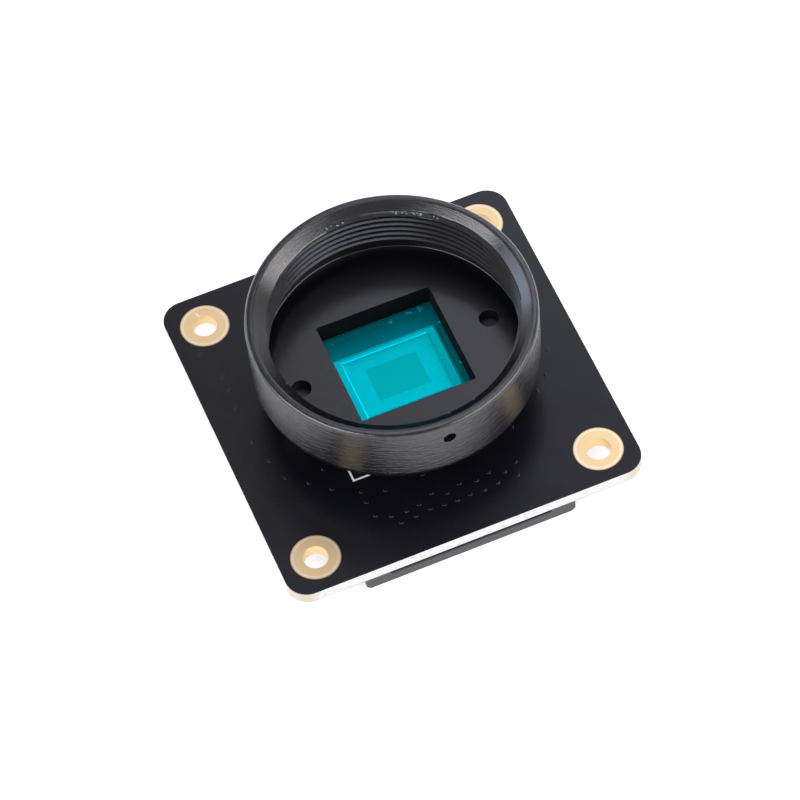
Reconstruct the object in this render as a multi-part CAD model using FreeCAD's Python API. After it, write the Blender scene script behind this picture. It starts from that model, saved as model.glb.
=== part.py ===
import FreeCAD, Part

import math
import os

from FreeCAD import Vector

# Board camera module: a square circuit board, a threaded lens mount over an image sensor, and a
# flat-cable connector with a sliding latch on the back. Millimetres, +Z towards the lens. The
# origin is the middle of the four mounting holes on the board's front face. The connector's
# mouth faces -Y.

# Circuit board
hole_pitch = 30.0
hole_r = 1.25
hole_margin = 3.75
board_corner_r = 2.3
board_thickness = 1.4
mask_thickness = 0.04
pad_r = 2.5
pad_gap = 0.06
plating = 0.05

# Lens mount, from its thread outwards
thread_r = 12.3
thread_length = 4.0
groove_depth = 0.7
mount_wall = 1.35
mount_height = 13.0
rim_edge = 0.35
rim_width = 0.4
leadin_angle = 50.0
floor_height = 5.9
floor_thickness = 1.3
ring_round = 1.9
base_side = 16.4
base_corner_r = 1.6
window_side = 12.1
window_corner_r = 0.15
ledge_height = 3.4
ledge_width = 0.55

# Screws that hold the mount from behind the board
screw_pitch = 20.0
screw_r = 1.0
screw_length = 6.0
screw_thread_clearance = 0.02
screw_board_clearance = 0.15
screw_head_r = 1.9
screw_head_height = 1.3
screw_recess_width = 0.45
screw_recess_depth = 0.8
post_wall = 1.5

# Cross hole for a lens-locking screw
lock_hole_r = 0.65
lock_hole_height = 10.75

# Filter glass under the window
filter_thickness = 0.7
filter_clearance = 0.05
glue_thickness = 0.1

# Image sensor
solder_height = 0.08
package_side = 12.4
package_height = 1.57
package_corner_r = 0.3
cavity_x = 9.4
cavity_y = 7.2
cavity_depth = 1.0
die_x = 8.8
die_y = 6.6
die_height = 0.75
array_x = 5.4
array_y = 4.0
array_height = 0.02
glass_x = 10.7
glass_y = 7.7
glass_thickness = 0.5
seal_thickness = 0.05
land_pitch = 1.5
land_width = 0.45
land_length = 0.9

# Flat-cable connector on the back: sizes along X, then Y from its front, then height off the board
ways = 15
way_pitch = 1.0
latch_setback = 0.6
latch_ear = 0.49
latch_depth = 1.0
latch_corner = 0.4
latch_bottom = 1.2
latch_end_bottom = 0.3
slot_margin = 0.5
latch_travel = 1.0
latch_gap = 0.06
tongue_depth = 2.6
tongue_thickness = 0.45
arm_thickness = 0.55
arm_length = 2.9
arm_height = 0.9
lug_length = 0.6
lug_depth = 0.25
housing_wall = 1.95
housing_depth = 4.3
housing_height = 2.65
housing_chamfer = 0.2
mouth_floor = 0.8
mouth_margin = 0.85
mouth_back_wall = 0.9
channel_width = 0.4
channel_floor = 0.25
channel_lip = 0.4
contact_width = 0.25
contact_thickness = 0.2
contact_foot = 1.0
contact_rise = 0.35
contact_bump = 0.2
tab_width = 1.9
tab_reach = 1.1
tab_thickness = 0.2
tab_bite = 0.4

# Small parts on the back
regulator_x = 2.9
regulator_y = 1.6
regulator_height = 1.1
regulator_standoff = 0.1
regulator_draft = 0.15
regulator_pitch = 5.0
regulator_count = 3
lead_pitch = 0.95
lead_width = 0.4
lead_thickness = 0.15
lead_reach = 0.6
crystal_x = 3.2
crystal_y = 2.5
crystal_base_height = 0.45
crystal_lid_height = 0.3
crystal_lid_margin = 0.2
chip_length = 1.6
chip_width = 0.8
chip_cap = 0.3
chip_plating = 0.03
capacitor_height = 0.8
resistor_height = 0.45
chip_spacing = 2.0
part_gap = 0.8
resistor_row_count = 4

# Worked out from the above
board_side = hole_pitch + 2 * hole_margin
board_half = board_side / 2
back = -board_thickness
groove_r = thread_r + groove_depth
mount_r = groove_r + mount_wall
rim_inner_r = mount_r - rim_edge - rim_width
leadin_depth = (rim_inner_r - thread_r) / math.tan(math.radians(leadin_angle))
thread_top = mount_height - leadin_depth
thread_bottom = thread_top - thread_length
underside = floor_height - floor_thickness
filter_side = window_side + 2 * ledge_width
pocket_side = filter_side + 2 * filter_clearance
glue_bottom = ledge_height - glue_thickness
filter_bottom = glue_bottom - filter_thickness
package_top = solder_height + package_height
cavity_floor = package_top - cavity_depth
die_top = cavity_floor + die_height
seal_top = package_top + seal_thickness
latch_front = -board_half + latch_setback
housing_front = latch_front + latch_depth + latch_gap
housing_back = housing_front + housing_depth
mouth_half = (ways - 1) * way_pitch / 2 + mouth_margin + channel_width / 2
tongue_half = mouth_half - 3 * latch_gap
slot_half = mouth_half + slot_margin
housing_half = mouth_half + housing_wall
latch_half = housing_half + latch_gap + arm_thickness + latch_ear
mouth_back = housing_back - mouth_back_wall


def box(x0, x1, y0, y1, z0, z1):
    return Part.makeBox(x1 - x0, y1 - y0, z1 - z0, Vector(x0, y0, z0))


def block(width, depth, z0, z1, corner_r=0.0, at=(0.0, 0.0)):
    """A block centred on at, with its upright corners rounded."""
    x, y = at
    body = box(x - width / 2, x + width / 2, y - depth / 2, y + depth / 2, z0, z1)
    if corner_r > 0:
        limit = min(width, depth) / 2.001
        upright = [e for e in body.Edges if abs(e.tangentAt(e.FirstParameter).z) > 0.99]
        body = body.makeFillet(min(corner_r, limit), upright)
    return body


def rod(r, z0, z1, at=(0.0, 0.0)):
    return Part.makeCylinder(r, z1 - z0, Vector(at[0], at[1], z0))


def square_points(pitch):
    half = pitch / 2
    return [(x, y) for x in (-half, half) for y in (-half, half)]


def row_points(pitch, count, y=0.0, centre=0.0):
    first = centre - (count - 1) * pitch / 2
    return [(first + i * pitch, y) for i in range(count)]


def turned(profile):
    """A solid of revolution about Z from a closed list of (radius, height) points."""
    wire = Part.makePolygon([Vector(r, 0, z) for r, z in profile + profile[:1]])
    return Part.Face(wire).revolve(Vector(0, 0, 0), Vector(0, 0, 1), 360)


def back_box(x0, x1, y0, y1, h0, h1):
    """A box on the back of the board, with its heights counted off the board."""
    return box(x0, x1, y0, y1, back - h1, back - h0)


def back_strip(points, x, width):
    """A bent strip on the back: its side profile of (y, height) points, width wide about x."""
    corners = [Vector(x - width / 2, y, back - h) for y, h in points]
    return Part.Face(Part.makePolygon(corners + corners[:1])).extrude(Vector(width, 0, 0))


def screw_points():
    return row_points(screw_pitch, 2)


def circuit_board():
    top = -mask_thickness
    bottom = back + mask_thickness
    board = block(board_side, board_side, bottom, top, board_corner_r)
    for point in square_points(hole_pitch):
        board = board.cut(rod(hole_r + plating, bottom, top, point))
    for point in screw_points():
        board = board.cut(rod(screw_r + screw_board_clearance, bottom, top, point))
    return board


def solder_mask(z0, z1):
    mask = block(board_side, board_side, z0, z1, board_corner_r)
    for point in square_points(hole_pitch):
        mask = mask.cut(rod(pad_r + pad_gap, z0, z1, point))
    for point in screw_points():
        mask = mask.cut(rod(screw_r + screw_board_clearance, z0, z1, point))
    return mask


def mounting_pads():
    """Each pad is one piece of plated copper: a ring on both faces and the barrel between."""
    ring = hole_r + plating
    profile = [
        (hole_r, back), (pad_r, back), (pad_r, back + mask_thickness), (ring, back + mask_thickness),
        (ring, -mask_thickness), (pad_r, -mask_thickness), (pad_r, 0.0), (hole_r, 0.0),
    ]
    pad = turned(profile)
    return Part.makeCompound([pad.translated(Vector(x, y, 0)) for x, y in square_points(hole_pitch)])


def mount_ring():
    """The turned part: wall, rim, lead-in cone, thread bore, relief groove, floor and foot.

    The foot of the wall is turned as two cones that follow a round of ring_round.
    """
    slope = math.radians(45)
    foot = (mount_r - ring_round * (1 - math.cos(slope)), underside + ring_round * (1 - math.sin(slope)))
    return turned([
        (0.0, underside), (mount_r - ring_round, underside), foot, (mount_r, underside + ring_round),
        (mount_r, mount_height - rim_edge), (mount_r - rim_edge, mount_height),
        (rim_inner_r, mount_height), (thread_r, thread_top), (thread_r, thread_bottom),
        (groove_r, thread_bottom), (groove_r, floor_height), (0.0, floor_height),
    ])


def lens_mount():
    base = block(base_side, base_side, 0.0, underside, base_corner_r)
    for point in screw_points():
        base = base.fuse(rod(screw_r + post_wall, 0.0, underside, point))
    body = mount_ring().fuse(base).removeSplitter()
    body = body.cut(block(window_side, window_side, 0.0, floor_height, window_corner_r))
    body = body.cut(block(pocket_side, pocket_side, 0.0, ledge_height))
    for point in screw_points():
        body = body.cut(rod(screw_r, 0.0, floor_height, point))
    lock_hole = Part.makeCylinder(
        lock_hole_r, mount_r, Vector(0, 0, lock_hole_height), Vector(0, -1, 0))
    return body.cut(lock_hole)


def mount_screw():
    shank = rod(screw_r - screw_thread_clearance, back, back + screw_length)
    head = rod(screw_head_r, back - screw_head_height, back)
    crown = [e for e in head.Edges if abs(e.BoundBox.ZMax - (back - screw_head_height)) < 1e-6]
    head = head.makeChamfer(screw_head_height / 3, crown)
    half = screw_recess_width / 2
    reach = screw_head_r * 0.6
    depth = (back - screw_head_height, back - screw_head_height + screw_recess_depth)
    recess = box(-reach, reach, -half, half, *depth).fuse(box(-half, half, -reach, reach, *depth))
    return shank.fuse(head.cut(recess)).removeSplitter()


def mount_screws():
    screw = mount_screw()
    return Part.makeCompound([screw.translated(Vector(x, y, 0)) for x, y in screw_points()])


def ir_filter():
    return block(filter_side, filter_side, filter_bottom, glue_bottom)


def filter_glue():
    bead = block(filter_side, filter_side, glue_bottom, ledge_height)
    return bead.cut(block(window_side, window_side, glue_bottom, ledge_height))


def sensor_package():
    body = block(package_side, package_side, solder_height, package_top, package_corner_r)
    return body.cut(block(cavity_x, cavity_y, cavity_floor, package_top))


def sensor_die():
    return block(die_x, die_y, cavity_floor, die_top)


def pixel_array():
    return block(array_x, array_y, die_top, die_top + array_height)


def glass_seal():
    seal = block(glass_x, glass_y, package_top, seal_top)
    return seal.cut(block(cavity_x, cavity_y, package_top, seal_top))


def cover_glass():
    return block(glass_x, glass_y, seal_top, seal_top + glass_thickness)


def sensor_solder():
    """Joints under the package, one row inside each edge."""
    count = int((package_side - 2 * land_length - 2 * land_width) / land_pitch)
    joints = []
    for side in (-1, 1):
        for run, row in row_points(land_pitch, count, side * (package_side - land_length) / 2):
            joints.append(block(land_width, land_length, 0.0, solder_height, at=(run, row)))
            joints.append(block(land_length, land_width, 0.0, solder_height, at=(row, run)))
    return Part.makeCompound(joints)


def way_points():
    return [x for x, y in row_points(way_pitch, ways)]


def lug_end():
    """Where the latch's lugs end, counted from the housing's front."""
    return arm_length - latch_gap


def connector_housing():
    body = back_box(-housing_half, housing_half, housing_front, housing_back, 0.0, housing_height)
    outer = [
        e for e in body.Edges
        if abs(e.BoundBox.ZMin - (back - housing_height)) < 1e-6 and e.BoundBox.ZLength < 1e-6
    ]
    body = body.makeChamfer(housing_chamfer, outer)
    roof = latch_bottom + tongue_thickness + latch_gap
    body = body.cut(back_box(-mouth_half, mouth_half, housing_front, mouth_back, mouth_floor, roof))
    for x in way_points():
        side = channel_width / 2
        front = housing_front + channel_lip
        body = body.cut(back_box(x - side, x + side, front, housing_back, channel_floor, mouth_floor))
        foot_wall = housing_back - 2 * contact_thickness
        body = body.cut(back_box(x - side, x + side, foot_wall, housing_back, 0.0, mouth_floor))
    groove_start = housing_front + lug_end() - lug_length - latch_travel - latch_gap
    groove_end = housing_front + lug_end() + latch_gap
    for side in (-1, 1):
        near = side * housing_half
        far = side * (housing_half - lug_depth)
        low = latch_bottom - latch_gap
        high = latch_bottom + arm_height + latch_gap
        body = body.cut(back_box(min(near, far), max(near, far), groove_start, groove_end, low, high))
        slot = side * (housing_half - tab_thickness)
        start, end = tab_span()
        body = body.cut(back_box(min(near, slot), max(near, slot), start, end, 0.0, tab_bite))
    return body


def connector_latch():
    """A bar in front of the housing, a tongue into its mouth and an arm along each end.

    The bar's ends reach up to the board, and the cable passes between them.
    """
    back_of_bar = latch_front + latch_depth
    bar = back_box(
        -latch_half, latch_half, latch_front, back_of_bar, latch_end_bottom, housing_height)
    corners = [
        e for e in bar.Edges
        if abs(e.BoundBox.ZMin - (back - housing_height)) < 1e-6 and e.BoundBox.YLength > latch_depth / 2
    ]
    bar = bar.makeChamfer(latch_corner, corners)
    bar = bar.cut(back_box(
        -slot_half, slot_half, latch_front, back_of_bar, latch_end_bottom, latch_bottom))
    tongue = back_box(
        -tongue_half, tongue_half, back_of_bar, housing_front + tongue_depth,
        latch_bottom, latch_bottom + tongue_thickness)
    latch = bar.fuse(tongue)
    for side in (-1, 1):
        inner = side * (housing_half + latch_gap)
        outer = inner + side * arm_thickness
        lug = inner - side * lug_depth
        end = housing_front + lug_end()
        top = latch_bottom + arm_height
        arm = back_box(min(inner, outer), max(inner, outer), back_of_bar, end, latch_bottom, top)
        hook = back_box(min(inner, lug), max(inner, lug), end - lug_length, end, latch_bottom, top)
        latch = latch.fuse(arm).fuse(hook)
    return latch.removeSplitter()


def connector_contacts():
    """A stamped strip per way: solder foot, riser, spring beam and the bump that meets the cable."""
    beam = contact_rise
    top = beam + contact_thickness
    rear = housing_back - contact_thickness / 2
    tip = housing_front + channel_lip + 2 * contact_thickness
    bump = tip + 3 * contact_thickness
    profile = [
        (rear + contact_foot, 0.0), (rear + contact_foot, contact_thickness),
        (rear, contact_thickness), (rear, top), (bump + 2 * contact_thickness, top),
        (bump, top + contact_bump), (tip, top), (tip, beam), (rear - contact_thickness, beam),
        (rear - contact_thickness, 0.0),
    ]
    return Part.makeCompound([back_strip(profile, x, contact_width) for x in way_points()])


def tab_span():
    centre = housing_front + housing_depth / 2
    return centre - tab_width / 2, centre + tab_width / 2


def connector_tabs():
    """A bent solder tab on each end of the housing, its upright leg let into the plastic."""
    start, end = tab_span()
    tabs = []
    for side in (-1, 1):
        near = side * (housing_half - tab_thickness)
        wall = side * housing_half
        foot = side * (housing_half + tab_reach)
        leg = back_box(min(near, wall), max(near, wall), start, end, 0.0, tab_bite)
        sole = back_box(min(wall, foot), max(wall, foot), start, end, 0.0, tab_thickness)
        tabs.append(leg.fuse(sole).removeSplitter())
    return Part.makeCompound(tabs)


def regulator_points():
    row_y = hole_pitch / 2 - regulator_y / 2
    first = -hole_pitch / 2 + pad_r + pad_gap + part_gap + regulator_x / 2
    return [(first + i * regulator_pitch, row_y) for i in range(regulator_count)]


def regulator_body(x, y):
    top = regulator_standoff + regulator_height
    body = back_box(
        x - regulator_x / 2, x + regulator_x / 2, y - regulator_y / 2, y + regulator_y / 2,
        regulator_standoff, top)
    return body.makeChamfer(regulator_draft, [e for e in body.Edges if e.BoundBox.ZLength < 1e-6])


def regulator_leads(x, y):
    """Five bent leads, three along one side and two along the other."""
    knee = regulator_standoff + regulator_height / 2
    leads = []
    for side, offsets in ((-1, (-1, 0, 1)), (1, (-1, 1))):
        wall = regulator_y / 2
        bend = wall + lead_thickness
        toe = wall + lead_reach
        profile = [
            (wall, knee), (wall, knee + lead_thickness), (bend + lead_thickness, knee + lead_thickness),
            (bend + lead_thickness, lead_thickness), (toe, lead_thickness), (toe, 0.0), (bend, 0.0),
            (bend, knee),
        ]
        for offset in offsets:
            points = [(y + side * reach, h) for reach, h in profile]
            leads.append(back_strip(points, x + offset * lead_pitch, lead_width))
    return Part.makeCompound(leads)


def crystal_place():
    x = hole_pitch / 2 - pad_r - pad_gap - part_gap - crystal_x / 2
    return x, hole_pitch / 2 - regulator_y / 2


def crystal_base():
    return block(crystal_x, crystal_y, back - crystal_base_height, back, at=crystal_place())


def crystal_lid():
    low = back - crystal_base_height - crystal_lid_height
    width = crystal_x - 2 * crystal_lid_margin
    depth = crystal_y - 2 * crystal_lid_margin
    return block(width, depth, low, back - crystal_base_height, crystal_lid_margin, crystal_place())


def chip_body(x, y, height, along_y):
    """The ceramic of a chip part, slimmer than its end caps by their plating."""
    length = chip_length - 2 * chip_cap
    width = chip_width - 2 * chip_plating
    size = (width, length) if along_y else (length, width)
    return block(*size, back - height + chip_plating, back - chip_plating, at=(x, y))


def chip_terminals(x, y, height, along_y):
    caps = []
    for side in (-1, 1):
        shift = side * (chip_length - chip_cap) / 2
        at = (x, y + shift) if along_y else (x + shift, y)
        size = (chip_width, chip_cap) if along_y else (chip_cap, chip_width)
        caps.append(block(*size, back - height, back, at=at))
    return caps


def capacitor_places():
    """Two upright beside each regulator, and four lying round the back of the sensor."""
    places = []
    row_drop = regulator_y / 2 + lead_reach + part_gap + chip_length / 2
    for x, y in regulator_points():
        places.append((x - lead_pitch, y - row_drop, True))
        places.append((x + lead_pitch, y - row_drop, True))
    sensor_x = package_side / 2 - chip_length / 2
    sensor_y = package_side / 2 + chip_width / 2
    for x_side in (-1, 1):
        for y_side in (-1, 1):
            places.append((x_side * sensor_x, y_side * sensor_y, False))
    return places


def resistor_places():
    """A row behind the connector, and one on each side of the crystal's inner end."""
    toe = housing_back + contact_foot + part_gap + chip_length / 2
    places = [(x, y, True) for x, y in row_points(chip_spacing, resistor_row_count, toe)]
    x, y = crystal_place()
    drop = crystal_y / 2 + part_gap + chip_length / 2
    places.append((x - chip_spacing / 2, y - drop, True))
    places.append((x + chip_spacing / 2, y - drop, True))
    return places


def all_parts():
    parts = {
        "circuit_board": circuit_board(),
        "solder_mask_front": solder_mask(-mask_thickness, 0.0),
        "solder_mask_back": solder_mask(back, back + mask_thickness),
        "mounting_pads": mounting_pads(),
        "lens_mount": lens_mount(),
        "mount_screws": mount_screws(),
        "ir_filter": ir_filter(),
        "filter_glue": filter_glue(),
        "sensor_package": sensor_package(),
        "sensor_die": sensor_die(),
        "pixel_array": pixel_array(),
        "glass_seal": glass_seal(),
        "cover_glass": cover_glass(),
        "sensor_solder": sensor_solder(),
        "connector_housing": connector_housing(),
        "connector_latch": connector_latch(),
        "connector_contacts": connector_contacts(),
        "connector_tabs": connector_tabs(),
        "crystal_base": crystal_base(),
        "crystal_lid": crystal_lid(),
    }
    for number, (x, y) in enumerate(regulator_points(), 1):
        parts[f"regulator_{number}"] = regulator_body(x, y)
        parts[f"regulator_{number}_leads"] = regulator_leads(x, y)
    for name, places, height in (
            ("capacitor", capacitor_places(), capacitor_height),
            ("resistor", resistor_places(), resistor_height)):
        terminals = []
        for number, (x, y, along_y) in enumerate(places, 1):
            parts[f"{name}_{number}"] = chip_body(x, y, height, along_y)
            terminals += chip_terminals(x, y, height, along_y)
        parts[f"{name}_terminals"] = Part.makeCompound(terminals)
    return parts


os.makedirs("parts", exist_ok=True)
for node, shape in all_parts().items():
    shape.exportStep(f"parts/{node}.step")
    print(node, len(shape.Solids), round(shape.Volume, 3), shape.isValid())
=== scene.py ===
import math

import bmesh
import bpy
from mathutils import Matrix, Quaternion, Vector, noise


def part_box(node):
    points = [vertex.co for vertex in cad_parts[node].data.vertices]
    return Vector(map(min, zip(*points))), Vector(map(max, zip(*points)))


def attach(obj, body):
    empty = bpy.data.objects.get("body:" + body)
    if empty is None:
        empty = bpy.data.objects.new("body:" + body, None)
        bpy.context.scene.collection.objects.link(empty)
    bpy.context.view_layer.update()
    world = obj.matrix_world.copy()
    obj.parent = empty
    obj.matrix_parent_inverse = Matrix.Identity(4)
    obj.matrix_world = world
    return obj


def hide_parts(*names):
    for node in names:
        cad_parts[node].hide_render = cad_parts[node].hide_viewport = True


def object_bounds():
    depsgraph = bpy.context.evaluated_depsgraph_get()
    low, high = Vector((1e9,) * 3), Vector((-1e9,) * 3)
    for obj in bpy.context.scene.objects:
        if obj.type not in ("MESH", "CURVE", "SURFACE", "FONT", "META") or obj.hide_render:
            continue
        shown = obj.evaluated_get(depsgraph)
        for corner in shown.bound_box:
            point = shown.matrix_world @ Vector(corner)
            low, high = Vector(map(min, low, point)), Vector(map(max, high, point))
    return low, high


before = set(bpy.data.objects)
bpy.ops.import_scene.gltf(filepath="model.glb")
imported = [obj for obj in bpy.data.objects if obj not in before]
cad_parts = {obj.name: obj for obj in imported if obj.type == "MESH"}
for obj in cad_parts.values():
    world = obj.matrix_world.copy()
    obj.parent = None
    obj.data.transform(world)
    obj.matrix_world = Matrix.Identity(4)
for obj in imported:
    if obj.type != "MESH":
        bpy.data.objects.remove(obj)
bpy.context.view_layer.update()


# The circuit board is pressed from eight plies of glass cloth in epoxy and cut out with a router.
# Its bare edge is pale with faint ply lines and specks, and browner at the rounded corners. The slit
# round each gold pad shows the laminate from above: its flat faces are painted dark brown, partly
# the laminate's own tone and partly painted shade deep in the slit.

def linear(hex_code):
    """An sRGB hex colour as linear RGBA."""
    shares = [int(hex_code[i:i + 2], 16) / 255 for i in (1, 3, 5)]
    return [s / 12.92 if s <= 0.04045 else ((s + 0.055) / 1.055) ** 2.4 for s in shares] + [1.0]


def add_node(tree, kind, settings=None, links=None):
    """Adds a shader node: settings fill its sockets or its own options, links feed its sockets."""
    node = tree.nodes.new("ShaderNode" + kind)
    for name, value in (settings or {}).items():
        if isinstance(name, int) or name in node.inputs:
            node.inputs[name].default_value = value
        else:
            setattr(node, name, value)
    for name, source in (links or {}).items():
        socket = source.outputs[0] if isinstance(source, bpy.types.Node) else source
        tree.links.new(socket, node.inputs[name])
    return node


def per_metre(size):
    """The scale of a pattern whose grains have this size in millimetres."""
    return 1000 / size


def new_finish(name):
    """A material with an empty node tree, and the tree."""
    finish = bpy.data.materials.new(name)
    finish.use_nodes = True
    finish.node_tree.nodes.clear()
    return finish, finish.node_tree


def coat_node(node, finish):
    """Gives a CAD node its finish."""
    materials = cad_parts[node].data.materials
    materials.clear()
    materials.append(finish)


# Glass-epoxy laminate, cut dry: matt, with faint lines of its plies and dark specks of torn glass,
# long and flat because the threads lie in the plies.
laminate, tree = new_finish("glass_epoxy_laminate")
ply_spacing, speck_length, speck_flatness = 0.160285, 10 / 17, 3.5
wave_repeat = math.pi / 10  # a wave texture's bands repeat this often in its own units
corner_start, corner_full = 0.0246, 0.0253  # metres from the board's middle
place = add_node(tree, "TexCoord")
plies = add_node(
    tree, "TexWave",
    {"bands_direction": "Z", "Scale": wave_repeat * per_metre(ply_spacing), "Distortion": 2.0,
     "Detail": 2.0, "Detail Scale": 2.0},
    {"Vector": place.outputs["Object"]})
thread_place = add_node(
    tree, "VectorMath", {"operation": "MULTIPLY", 1: (1, 1, speck_flatness)}, {0: place.outputs["Object"]})
specks = add_node(
    tree, "TexNoise", {"Scale": per_metre(speck_length), "Detail": 3.0, "Roughness": 0.7},
    {"Vector": thread_place})
ply_colour = add_node(
    tree, "Mix", {"data_type": "RGBA", 6: linear("#FBFAFA"), 7: linear("#EFEDEA")}, {0: plies})
speck_share = add_node(
    tree, "MapRange", {"From Min": 0.58, "From Max": 0.63, "To Max": 0.6}, {"Value": specks})
speck_colour = add_node(
    tree, "Mix", {"data_type": "RGBA", 7: linear("#A9A7AC")}, {0: speck_share, 6: ply_colour.outputs[2]})
flat_place = add_node(
    tree, "VectorMath", {"operation": "MULTIPLY", 1: (1, 1, 0)}, {0: place.outputs["Object"]})
middle_distance = add_node(
    tree, "VectorMath", {"operation": "LENGTH"}, {0: flat_place})
corner_share = add_node(
    tree, "MapRange", {"From Min": corner_start, "From Max": corner_full, "To Max": 0.8},
    {"Value": middle_distance.outputs["Value"]})
edge_colour = add_node(
    tree, "Mix", {"data_type": "RGBA", 7: linear("#D9CFAE")},
    {0: corner_share, 6: speck_colour.outputs[2]})
# Painted shade: faces that look up or down are mixed towards dark brown, partly the laminate's tone and
# partly the shade in the slit round each pad.
facing = add_node(tree, "SeparateXYZ", links={0: place.outputs["Normal"]})
flat_face_tone_and_shade = add_node(tree, "Math", {"operation": "ABSOLUTE"}, {0: facing.outputs["Z"]})
board_colour = add_node(
    tree, "Mix", {"data_type": "RGBA", 7: linear("#3A2A1A")}, {0: flat_face_tone_and_shade, 6: edge_colour.outputs[2]})
weave_bump = add_node(tree, "Bump", {"Strength": 0.5, "Distance": 0.00001}, {"Height": specks})
shader = add_node(
    tree, "BsdfPrincipled", {"Roughness": 0.6, "IOR": 1.55},
    {"Base Color": board_colour.outputs[2], "Normal": weave_bump})
add_node(tree, "OutputMaterial", links={"Surface": shader})
coat_node("circuit_board", laminate)


# The solder mask is a photo-cured black epoxy coating, printed wet over copper and glass cloth.
# It dries satin with a very fine orange peel, and takes the grey of what it faces.
# Small domes of it stand where it fills the plated holes that join the copper layers.

# Photo-cured epoxy: near black, satin, and slightly uneven where it flowed over the copper.
solder_mask, tree = new_finish("black_solder_mask_epoxy")
place = add_node(tree, "TexCoord")
mottle = add_node(
    tree, "TexNoise", {"Scale": per_metre(50 / 13), "Detail": 3.0}, {"Vector": place.outputs["Object"]})
mask_colour = add_node(
    tree, "Mix", {"data_type": "RGBA", 6: linear("#0B0B10"), 7: linear("#101017")}, {0: mottle})
mask_roughness = add_node(
    tree, "MapRange", {"To Min": 0.17, "To Max": 0.25}, {"Value": mottle})
orange_peel = add_node(
    tree, "TexNoise", {"Scale": per_metre(10 / 13), "Detail": 2.0}, {"Vector": place.outputs["Object"]})
peel_bump = add_node(tree, "Bump", {"Strength": 0.35, "Distance": 0.000008}, {"Height": orange_peel})
shader = add_node(
    tree, "BsdfPrincipled", {"IOR": 1.48},
    {"Base Color": mask_colour.outputs[2], "Roughness": mask_roughness, "Normal": peel_bump})
add_node(tree, "OutputMaterial", links={"Surface": shader})
coat_node("solder_mask_front", solder_mask)
coat_node("solder_mask_back", solder_mask)


def make_piece(name, points, faces, smooth_below=35):
    """A mesh piece from points in millimetres, smooth where its faces meet below that angle."""
    mesh = bpy.data.meshes.new(name)
    mesh.from_pydata([Vector(p) * 0.001 for p in points], [], faces)
    mesh.validate()
    mesh.set_sharp_from_angle(angle=math.radians(smooth_below))
    piece = bpy.data.objects.new(name, mesh)
    bpy.context.scene.collection.objects.link(piece)
    return piece


def fit_piece(piece, finish, body="module", stands_for=()):
    """Gives a piece its finish, its body and the CAD nodes that it stands for."""
    piece.data.materials.clear()
    piece.data.materials.append(finish)
    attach(piece, body)
    if stands_for:
        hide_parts(*stands_for)


def domes(name, places, radius, height):
    """Low round domes that stand on the board's front, all in one mesh."""
    points, faces = [], []
    rings = ((1.0, 0.0), (0.92, 0.35), (0.7, 0.75), (0.35, 0.96))  # shares of the radius and height
    count = 16
    for x, y in places:
        start = len(points)
        for width, rise in rings:
            for i in range(count):
                turn = 2 * math.pi * i / count
                away = radius * width
                points.append((x + away * math.cos(turn), y + away * math.sin(turn), height * rise))
        points.append((x, y, height))
        for ring in range(len(rings) - 1):
            for i in range(count):
                a, b = start + ring * count + i, start + ring * count + (i + 1) % count
                faces.append((a, b, b + count, a + count))
        last = start + (len(rings) - 1) * count
        for i in range(count):
            faces.append((last + i, last + (i + 1) % count, len(points) - 1))
    return make_piece(name, points, faces)


plug_r, plug_height = 0.21, 0.05
plugged_holes = domes("plugged_holes_front", [
    (-8.1, -9.9), (-5.9, -10.7), (-8.1, -11.2), (-1.9, -12.9), (-0.5, -13.5), (1.0, -13.0),
    (2.7, -13.4), (4.1, -13.0), (5.6, -13.6), (6.6, -14.5), (4.5, -14.5), (3.0, -14.7),
    (1.5, -14.6), (0.1, -14.7), (-1.3, -14.6), (-2.7, -14.5), (-3.5, -13.6), (-4.9, -13.8),
    (-4.3, -14.7), (-5.9, -14.8), (-6.5, -13.7), (-7.9, -13.0), (-1.9, -10.5), (7.0, -13.0),
    (-16.8, 11.9), (-15.6, 8.4), (-15.6, 6.7), (-15.7, 4.5), (-15.7, 0.0), (-15.0, -2.8),
    (15.2, -2.2), (13.8, -4.8), (12.3, -6.2), (-12.4, -6.8), (-10.6, -8.4), (-10.5, -5.9),
    (8.3, -9.1), (-14.3, -5.3),
], plug_r, plug_height)
fit_piece(plugged_holes, solder_mask)


# The component outline is white epoxy ink, screen printed on the mask round the foot of the mount.
# It is a thin matt line with a slightly ragged edge.

# Epoxy ink pressed through a mesh: matt white, with the mesh's marks as paler and greyer dots.
print_ink, tree = new_finish("white_epoxy_print_ink")
place = add_node(tree, "TexCoord")
mesh_marks = add_node(
    tree, "TexNoise", {"Scale": per_metre(1 / 9), "Detail": 2.0}, {"Vector": place.outputs["Object"]})
ink_colour = add_node(
    tree, "Mix", {"data_type": "RGBA", 6: linear("#D8D8D2"), 7: linear("#F4F4F0")}, {0: mesh_marks})
ink_bump = add_node(tree, "Bump", {"Strength": 0.4, "Distance": 0.000006}, {"Height": mesh_marks})
shader = add_node(
    tree, "BsdfPrincipled", {"Roughness": 0.55, "IOR": 1.5},
    {"Base Color": ink_colour.outputs[2], "Normal": ink_bump})
add_node(tree, "OutputMaterial", links={"Surface": shader})


def printed_box(name, width, depth, line, thickness):
    """A printed rectangle round the board's middle, drawn with a flat line."""
    points, faces = [], []
    for inset in (0, line):
        for z in (0, thickness):
            for x_side, y_side in ((-1, -1), (1, -1), (1, 1), (-1, 1)):
                points.append((x_side * (width / 2 - inset), y_side * (depth / 2 - inset), z))
    outer, outer_top, inner, inner_top = (k * 4 for k in range(4))
    for i in range(4):
        j = (i + 1) % 4
        faces.append((outer + i, outer + j, outer_top + j, outer_top + i))
        faces.append((outer_top + i, outer_top + j, inner_top + j, inner_top + i))
        faces.append((inner_top + i, inner_top + j, inner + j, inner + i))
    return make_piece(name, points, faces)


line_width, ink_thickness = 0.2, 0.012
mount_outline = printed_box("printed_outline_front", 16.8, 17.0, line_width, ink_thickness)
fit_piece(mount_outline, print_ink)
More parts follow.
